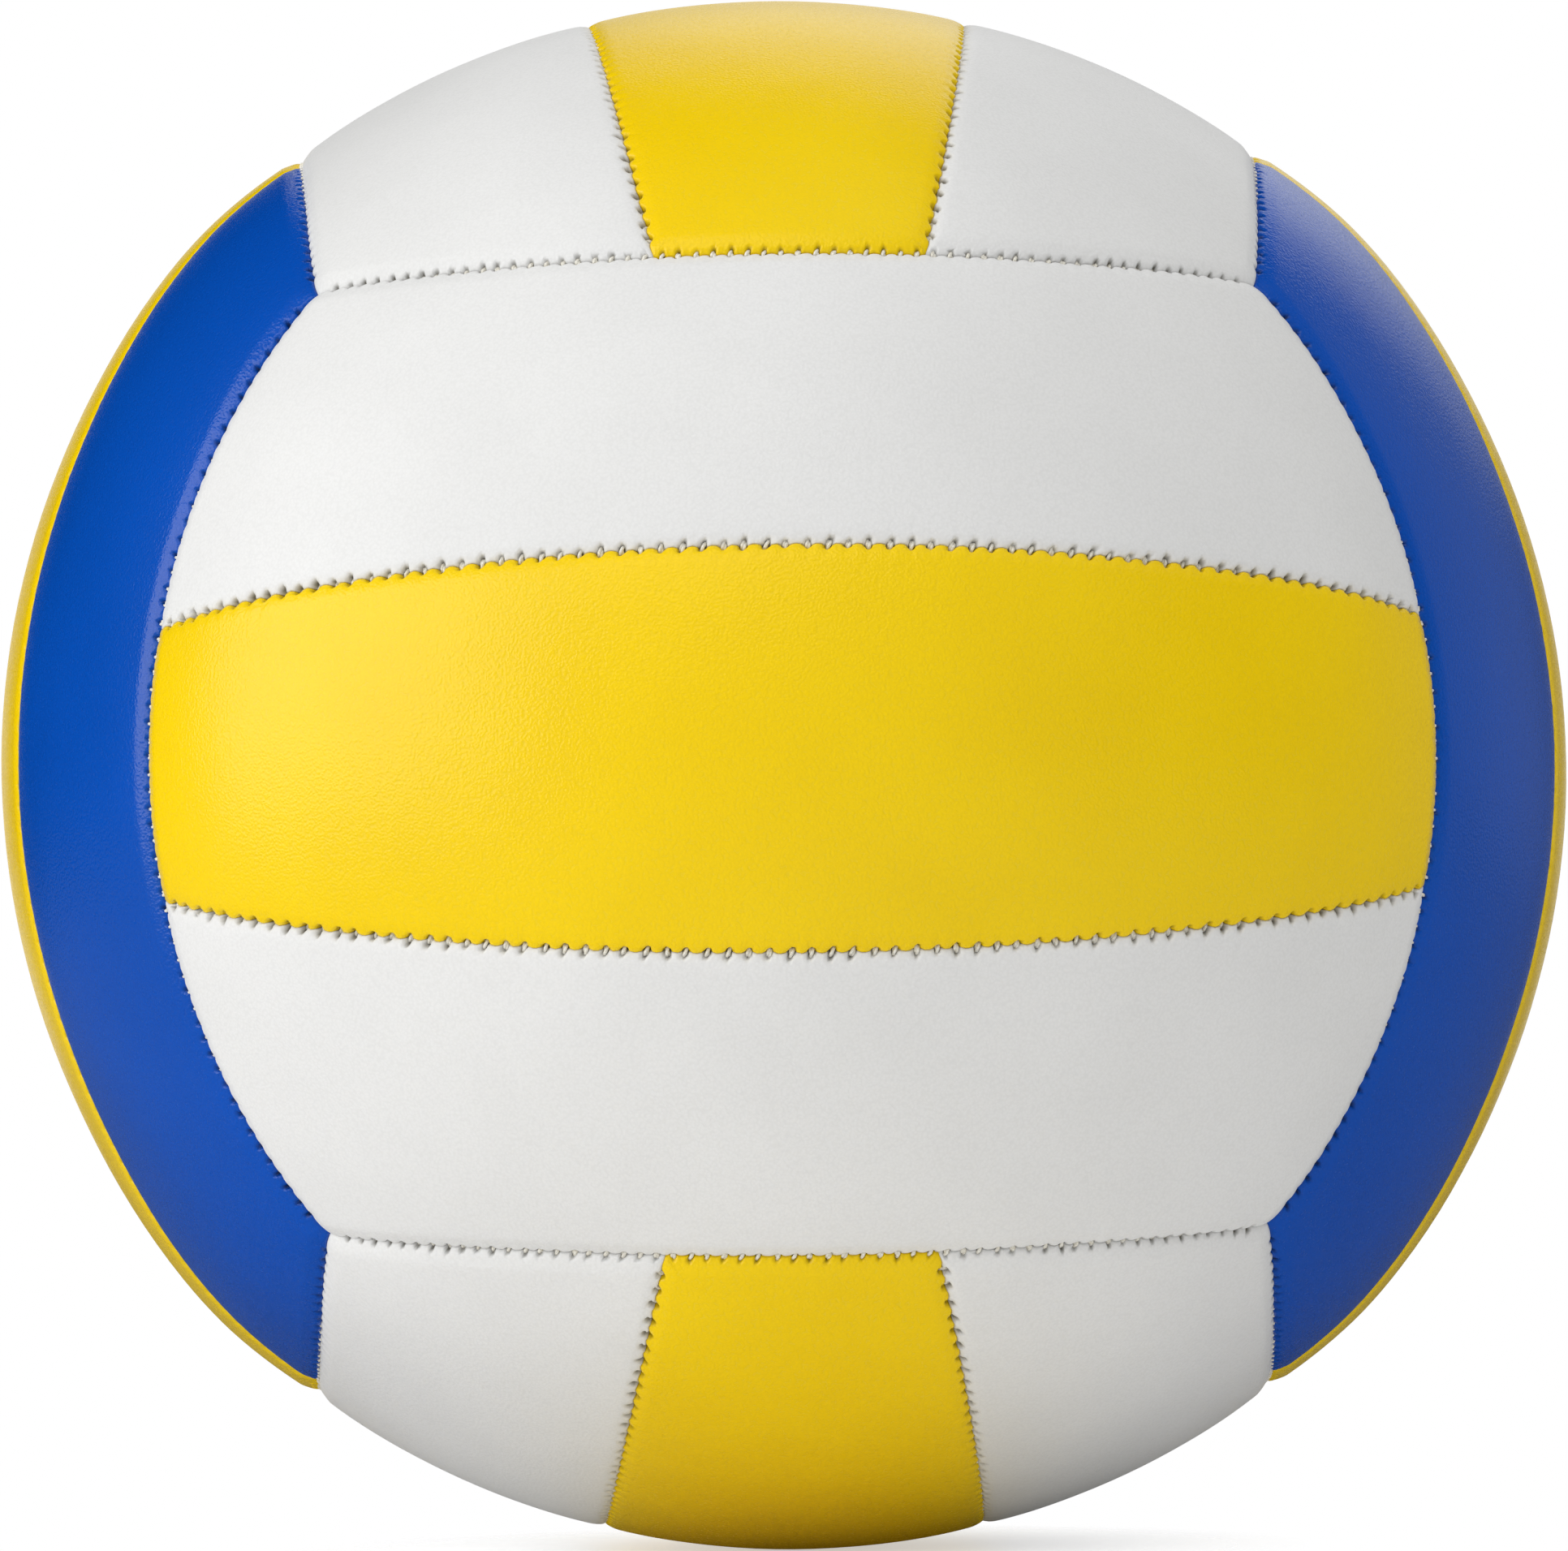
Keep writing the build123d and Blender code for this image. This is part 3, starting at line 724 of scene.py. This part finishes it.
def makeClothMaterial():
    # Plain weave: two sets of ribs across each other
    material, tree, shader = newMaterial("liningCloth")
    coord = newNode(tree, "ShaderNodeTexCoord", (-1100, 0)).outputs["Object"]
    ribs = []
    for row, direction in enumerate(("X", "Z")):
        wave = newNode(tree, "ShaderNodeTexWave", (-900, -300 * row), bands_direction=direction)
        wave.inputs["Scale"].default_value = clothFinish["ribsPerMetre"] * 2 * math.pi / 20
        wave.inputs["Distortion"].default_value = clothFinish["unevenness"]
        tree.links.new(coord, wave.inputs["Vector"])
        ribs.append(wave.outputs["Fac"])
    weave = mathNode(tree, "MAXIMUM", ribs[0], ribs[1], (-600, 0))
    tone = mixColour(tree, weave, clothFinish["gap"], clothFinish["colour"], (-300, 0))
    tree.links.new(tone, shader.inputs["Base Color"])
    shader.inputs["Roughness"].default_value = clothFinish["roughness"]
    normal = bumpFrom(tree, weave, clothFinish["bump"], clothFinish["depth"])
    tree.links.new(normal, shader.inputs["Normal"])
    return material


foamMaterial, clothMaterial = makeFoamMaterial(), makeClothMaterial()

# Panels: a cover, a foam pad and a cloth lining each
valveOpening = {
    # radius and depth of each ring of the hole for the valve, in millimetres
    "cover": [(6.4, 0.0), (5.6, 0.05), (5.0, 0.14), (4.6, 0.30), (4.35, 0.55), (4.22, 0.95), (4.22, 1.25)],
    "foam": [(4.6, 1.33), (4.25, 1.6), (4.25, 3.4), (4.6, 3.7)],
    "lining": [(4.4, 3.8), (4.25, 3.85), (4.25, 4.25), (4.4, 4.3)],
}
panelPlans = []
for face, (_, _, (first, second), _) in faceTable.items():
    panelPlans += [panelPlan(face, strip) for strip in (first, "middle", second)]


def panelPiece(plan, layer, rings, suffix, material):
    hole = valveOpening[layer] if plan["name"] == "back_middle" else None
    vertices, faces, *surface = panelShell(plan, rings, hole)
    piece = meshPiece(plan["name"] + suffix, vertices, faces, *(surface if layer == "cover" else ()))
    piece.data.materials.append(material)
    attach(piece, "ball")
    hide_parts(plan["name"] + "_" + layer)
    return piece


for plan in panelPlans:
    colour = plan["colour"]
    cover = panelPiece(plan, "cover", coverRings, "_panel", coverMaterials[colour])
    pad = panelPiece(plan, "foam", foamRings, "_pad", foamMaterial)
    cloth = panelPiece(plan, "lining", liningRings, "_cloth", clothMaterial)
print("panels made:", len(panelPlans))

# Stitches: two plies twisted together, lying across the seam in their pits
stitchForm = {
    # across the seam from the deeper bite, and below the cover beside it, in millimetres
    "path": ((0.90, 1.80), (0.72, 1.15), (0.42, 0.72), (0.02, 0.60), (-0.32, 0.80), (-0.52, 1.50)),
    "reach": {"strip": 1.0, "end": 0.8},        # stitches at the ends of strips are shorter
    "sink": {"strip": 0.36, "end": 0.42},       # the cover's own fall there
    "plyRadius": 0.24,
    "plyOffset": 0.17,
    "twist": 200,               # degrees over one stitch
    "sides": 6,
    "seed": 3,
}


def stitchPiece(name, kind):
    path = np.array(stitchForm["path"]) * mm * (stitchForm["reach"][kind], 1)
    rings, sides = len(path), stitchForm["sides"]
    plyRadius, plyOffset = stitchForm["plyRadius"], stitchForm["plyOffset"]
    sunk = stitchForm["sink"][kind] * mm
    around = np.linspace(0, 2 * math.pi, sides, endpoint=False)[:, None]
    points, faces = [], []
    twistRandom = np.random.default_rng(stitchForm["seed"])
    for seam in seams.values():
        if seam["kind"] != kind:
            continue
        for at, pull, lean in zip(seam["stitchAt"], seam["stitchPull"], seam["stitchLean"]):
            spot = seamPoint(seam, at / seam["arcRadius"])
            inward = seam["axis"] - spot * spot.dot(seam["axis"])
            inward *= seam["bites"] / np.linalg.norm(inward)
            alongSeam = np.cross(inward, spot) * seam["bites"]
            swell = ballSwell(spot[None])[0] - sunk
            start = twistRandom.uniform(0, 2 * math.pi)
            line = spot * (ballRadius + swell - path[:, 1:]) + (inward + alongSeam * lean) * path[:, :1]
            for ply in (0, math.pi):
                first = len(points) * sides
                for k in range(rings):
                    ahead = line[min(k + 1, rings - 1)] - line[max(k - 1, 0)]
                    ahead /= np.linalg.norm(ahead)
                    out = np.cross(ahead, alongSeam)
                    out /= np.linalg.norm(out)
                    sideways = np.cross(out, ahead)
                    swing = start + ply + math.radians(stitchForm["twist"]) * k / (rings - 1)
                    toPly = out * math.sin(swing) + sideways * math.cos(swing)
                    centre = line[k] + toPly * plyOffset * mm
                    toSkin = out * np.sin(around) + sideways * np.cos(around)
                    points.append(centre + toSkin * plyRadius * mm)
                    if k:
                        low, high = first + (k - 1) * sides, first + k * sides
                        for s in range(sides):
                            t = (s + 1) % sides
                            faces.append((low + s, low + t, high + t, high + s))
                faces.append(tuple(range(first + sides - 1, first - 1, -1)))
                faces.append(tuple(range(first + (rings - 1) * sides, first + rings * sides)))
    return meshPiece(name, np.concatenate(points), faces)


threadFinish = {
    "colour": (0.93, 0.91, 0.83),
    "worn": (0.72, 0.68, 0.57),
    "fibresPerMetre": 5200,
    "roughness": 0.42,
    "specular": 0.5,
    "bump": 0.4,
    "depth": 0.05 * mm,
}


def makeThreadMaterial():
    material, tree, shader = newMaterial("waxedThread")
    coord = newNode(tree, "ShaderNodeTexCoord", (-900, 0)).outputs["Object"]
    fibre = newNode(tree, "ShaderNodeTexNoise", (-700, 0))
    fibre.inputs["Scale"].default_value = threadFinish["fibresPerMetre"]
    fibre.inputs["Detail"].default_value = 2
    tree.links.new(coord, fibre.inputs["Vector"])
    wear = spread(tree, fibre.outputs["Fac"], 0.35, 0.65, 0, 1, (-500, 0))
    tone = mixColour(tree, wear, threadFinish["colour"], threadFinish["worn"], (-300, 0))
    tree.links.new(tone, shader.inputs["Base Color"])
    shader.inputs["Roughness"].default_value = threadFinish["roughness"]
    shader.inputs["Specular IOR Level"].default_value = threadFinish["specular"]
    normal = bumpFrom(tree, fibre.outputs["Fac"], threadFinish["bump"], threadFinish["depth"])
    tree.links.new(normal, shader.inputs["Normal"])
    return material


threadMaterial = makeThreadMaterial()
for kind in ("strip", "end"):
    stitches = stitchPiece(kind + "_seam_stitches", kind)
    stitches.data.materials.append(threadMaterial)
    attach(stitches, "ball")
    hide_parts(kind + "_seam_thread")
print("stitches made")

# Pieces that keep their CAD shape
rubberFinish = {
    "bladder": {"colour": (0.012, 0.012, 0.013), "dust": (0.05, 0.05, 0.05), "roughness": 0.7},
    "valve_housing": {"colour": (0.02, 0.02, 0.021), "dust": (0.06, 0.06, 0.058), "roughness": 0.55},
    "valve_plug": {"colour": (0.035, 0.035, 0.037), "dust": (0.085, 0.085, 0.08), "roughness": 0.5},
}
rubberGrain = {"cellsPerMetre": 3200, "finePart": 0.8, "bump": 0.25, "depth": 0.04 * mm, "rougher": 0.08}


def makeRubberMaterial(name):
    finish = rubberFinish[name]
    material, tree, shader = newMaterial(name + "Rubber")
    grain = newNode(tree, "ShaderNodeGroup", (-900, 0), node_tree=grainGroup)
    grain.inputs["Cells per Metre"].default_value = rubberGrain["cellsPerMetre"]
    grain.inputs["Fine Part"].default_value = rubberGrain["finePart"]
    dusty = spread(tree, grain.outputs["Mottle"], 0.4, 0.7, 0, 1, (-600, 0))
    tone = mixColour(tree, dusty, finish["colour"], finish["dust"], (-300, 0))
    tree.links.new(tone, shader.inputs["Base Color"])
    roughest = finish["roughness"] + rubberGrain["rougher"]
    rough = spread(tree, grain.outputs["Tone"], 0.2, 0.8, roughest, finish["roughness"], (-300, -200))
    tree.links.new(rough, shader.inputs["Roughness"])
    normal = bumpFrom(tree, grain.outputs["Height"], rubberGrain["bump"], rubberGrain["depth"])
    tree.links.new(normal, shader.inputs["Normal"])
    return material


def dress(node, material):
    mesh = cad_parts[node].data
    mesh.materials.clear()
    mesh.materials.append(material)


for node in rubberFinish:
    dress(node, makeRubberMaterial(node))
print("rubber pieces dressed")

# Floor, light and camera
studio = {
    "floorReach": 1.0,          # metres from its middle to its edges
    "floorColour": (0.97, 0.97, 0.97),
    "floorRoughness": 0.9,
    "floorSpeck": {"scale": 60, "shade": 0.99},
    "floorMirrored": (0.15, 0.15, 0.15),        # the covers mirror it less than a smooth surface would
    "floorFade": (0.0, 0.07),   # metres from the ball's middle over which it melts into the background
    "floorLift": 0.48,          # seen by the camera alone, to make the lit floor as white as the background
    "floorGlow": 0.065,         # light from below
    "ambient": 0.09,            # light from all round
    # light from one whole side of the room
    "fill": {"side": (-0.40, -0.86, 0.44), "spread": 150, "strength": 1.64},
    # white boards seen in reflections alone: the side they stand on, how wide they look, how bright
    "boards": [
        {"side": (0.93, 0.36, 0.05), "edge": (0.60, 0.95), "level": 0.25},
        {"side": (0.22, 0.82, 0.53), "edge": (0.90, 0.98), "level": 1.0},
        {"side": (-0.20, -0.71, 0.67), "edge": (0.90, 0.97), "level": 1.6},
        {"side": (0.0, 1.0, 0.0), "edge": (0.94, 0.985), "level": 0.9},
    ],
    "key": {"place": (-1.72, -0.80, 0.55), "size": (1.9, 1.5), "power": 21, "mirrored": True},
    "overhead": {"place": (0.75, 0.0, 1.4), "size": (2.0, 1.6), "power": 11.8, "mirrored": False},
}


def makeFloor():
    far, low = studio["floorReach"], -ballRadius - float(ballSwell(np.array([[0.0, 0.0, -1.0]]))[0])
    corners = [(-far, -far, low), (far, -far, low), (far, far, low), (-far, far, low)]
    floor = meshPiece("floor", corners, [(0, 1, 2, 3)])
    material, tree, shader = newMaterial("paleFloor")
    shader.inputs["Roughness"].default_value = studio["floorRoughness"]
    shader.inputs["Specular IOR Level"].default_value = 0
    speck = newNode(tree, "ShaderNodeTexNoise", (-700, 0))
    speck.inputs["Scale"].default_value = studio["floorSpeck"]["scale"]
    darker = [part * studio["floorSpeck"]["shade"] for part in studio["floorColour"]]
    tone = mixColour(tree, speck.outputs["Fac"], studio["floorColour"], darker, (-400, 0))
    path = newNode(tree, "ShaderNodeLightPath", (-900, -600))
    tone = mixColour(tree, path.outputs["Is Glossy Ray"], tone, studio["floorMirrored"], (-200, 0))
    tree.links.new(tone, shader.inputs["Base Color"])
    coord = newNode(tree, "ShaderNodeTexCoord", (-1100, -300)).outputs["Object"]
    distance = newNode(tree, "ShaderNodeVectorMath", (-900, -300), operation="LENGTH")
    tree.links.new(coord, distance.inputs[0])
    reach = [math.hypot(away, low) for away in studio["floorFade"]]
    solid = spread(tree, distance.outputs["Value"], *reach, 1, 0, (-700, -300))
    seen = path.outputs["Is Camera Ray"]
    unseen = mathNode(tree, "SUBTRACT", 1.0, seen, (-700, -600))
    tree.links.new(mathNode(tree, "MAXIMUM", solid, unseen, (-400, -300)), shader.inputs["Alpha"])
    glow = mixColour(tree, path.outputs["Is Diffuse Ray"], (0, 0, 0), [studio["floorGlow"]] * 3, (-600, -800))
    lift = mixColour(tree, seen, glow, [studio["floorLift"]] * 3, (-400, -600))
    tree.links.new(lift, shader.inputs["Emission Color"])
    shader.inputs["Emission Strength"].default_value = 1
    material.cycles.emission_sampling = "NONE"      # so that only the rays it is meant for find the glow
    floor.data.materials.append(material)


def makeWorld():
    # White behind the ball for the camera; reflections see white boards; the rest is the room's soft light
    world = bpy.data.worlds.new("studio")
    world.use_nodes = True
    world.cycles.sampling_method = "NONE"       # so that each ray sees its own side of the room
    bpy.context.scene.world = world
    tree = world.node_tree
    path = newNode(tree, "ShaderNodeLightPath", (-1100, 500))
    coord = newNode(tree, "ShaderNodeTexCoord", (-1300, 0)).outputs["Generated"]

    def towards(side, row):
        node = newNode(tree, "ShaderNodeVectorMath", (-1100, row), operation="DOT_PRODUCT")
        node.inputs[1].default_value = side
        tree.links.new(coord, node.inputs[0])
        return node.outputs["Value"]

    shown = 0.0
    for row, board in enumerate(studio["boards"]):
        low = -200 * row
        lit = spread(tree, towards(board["side"], low), *board["edge"], 0, board["level"], (-900, low))
        shown = mathNode(tree, "MAXIMUM", shown, lit, (-700, low))
    glossy, through = path.outputs["Is Glossy Ray"], path.outputs["Is Transmission Ray"]
    mirrored = mathNode(tree, "MAXIMUM", glossy, through, (-900, 500))
    straight = mathNode(tree, "SUBTRACT", 1.0, mirrored, (-700, 500))
    dim = mathNode(tree, "MULTIPLY", straight, studio["ambient"], (-500, 300))
    seen = mathNode(tree, "MULTIPLY_ADD", mirrored, shown, (-500, 0))
    tree.links.new(dim, seen.node.inputs[2])
    level = mathNode(tree, "MAXIMUM", seen, path.outputs["Is Camera Ray"], (-300, 0))
    background = tree.nodes["Background"]
    background.inputs["Color"].default_value = (1, 1, 1, 1)
    tree.links.new(level, background.inputs["Strength"])


def hangLamp(name, lamp, place, mirrored):
    holder = bpy.data.objects.new(name, lamp)
    holder.location = place
    holder.visible_glossy = mirrored
    holder.rotation_euler = (-Vector(place)).to_track_quat("-Z", "Y").to_euler()
    bpy.context.scene.collection.objects.link(holder)


def makeLamp(name):
    lamp = bpy.data.lights.new(name, "AREA")
    lamp.shape = "RECTANGLE"
    lamp.size, lamp.size_y = studio[name]["size"]
    lamp.energy = studio[name]["power"]
    hangLamp(name, lamp, studio[name]["place"], studio[name]["mirrored"])


def makeFill():
    lamp = bpy.data.lights.new("fill", "SUN")
    lamp.angle = math.radians(studio["fill"]["spread"])
    lamp.energy = studio["fill"]["strength"]
    hangLamp("fill", lamp, studio["fill"]["side"], False)


# The photograph was taken from far off, a little below the ball's middle
viewpoint = {
    "distance": 12.6,           # in ball radii
    "tip": -1.818,              # degrees
    "roll": -0.668,
    "turn": 1.082,
    "lens": 225.2,
    "sensor": 36,
    "shiftY": -0.001,
    "clip": (0.05, 30),
}


def makeCamera():
    turn, roll, tip = (math.radians(viewpoint[key]) for key in ("turn", "roll", "tip"))
    seen = Matrix.Rotation(turn, 3, "Z") @ Matrix.Rotation(roll, 3, "Y") @ Matrix.Rotation(tip, 3, "X")
    right, away, up = seen[0], seen[1], seen[2]
    data = bpy.data.cameras.new("camera")
    data.lens = viewpoint["lens"]
    data.sensor_width = viewpoint["sensor"]
    data.shift_y = viewpoint["shiftY"]
    data.clip_start, data.clip_end = viewpoint["clip"]
    camera = bpy.data.objects.new("camera", data)
    aim = Matrix((right, up, -away)).transposed().to_4x4()
    aim.translation = -away * viewpoint["distance"] * ballRadius
    camera.matrix_world = aim
    bpy.context.scene.collection.objects.link(camera)
    bpy.context.scene.camera = camera


makeFloor()
makeWorld()
for name in ("key", "overhead"):
    makeLamp(name)
makeFill()
makeCamera()
bpy.context.scene.view_settings.view_transform = "Standard"
print("stage set")
